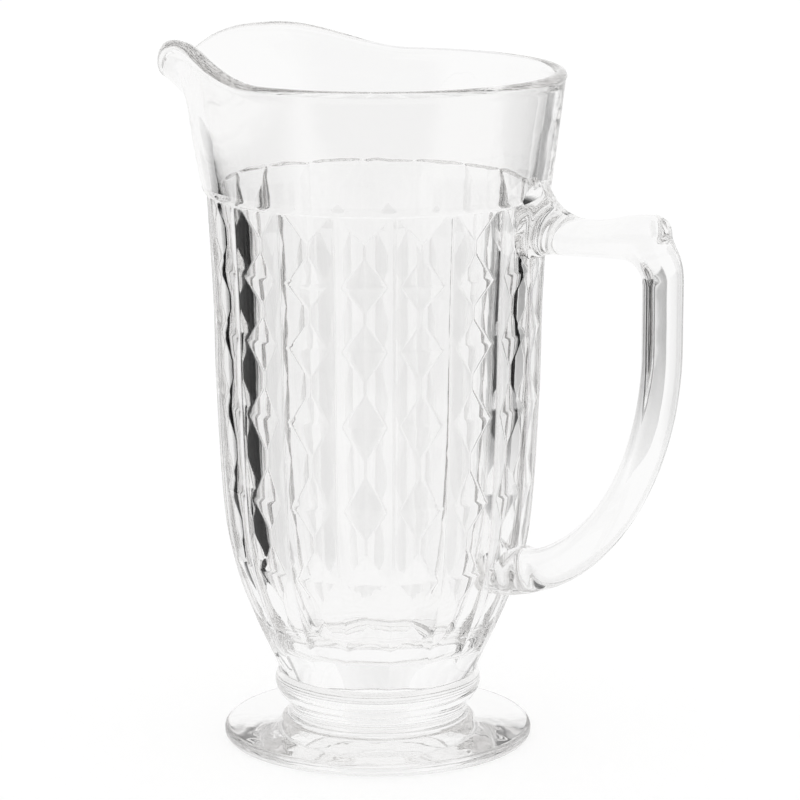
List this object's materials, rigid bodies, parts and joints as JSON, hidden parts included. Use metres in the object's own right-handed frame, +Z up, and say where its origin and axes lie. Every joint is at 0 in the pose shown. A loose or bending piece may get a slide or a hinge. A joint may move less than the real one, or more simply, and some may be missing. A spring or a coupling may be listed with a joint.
{
  "type": "glass pitcher",
  "caption": "Footed pressed-glass water pitcher: panelled bowl with rows of cut-looking cells, plain flared collar, wavy rim with a pouring lip, and a D-shaped handle.",
  "frame": {"origin": "centre of the foot's flat underside, on the table", "axes": "+Z up along the bowl's axis, +X towards the handle, so the pouring lip is at -X"},
  "size_m": [0.1878, 0.127, 0.2404],
  "materials": {
    "clear_glass": "clear, colourless, fire-polished"
  },
  "bodies": {
    "root": {"foot": "clear_glass", "neck_ring": "clear_glass", "bowl": "clear_glass", "handle": "clear_glass"}
  },
  "joints": []
}
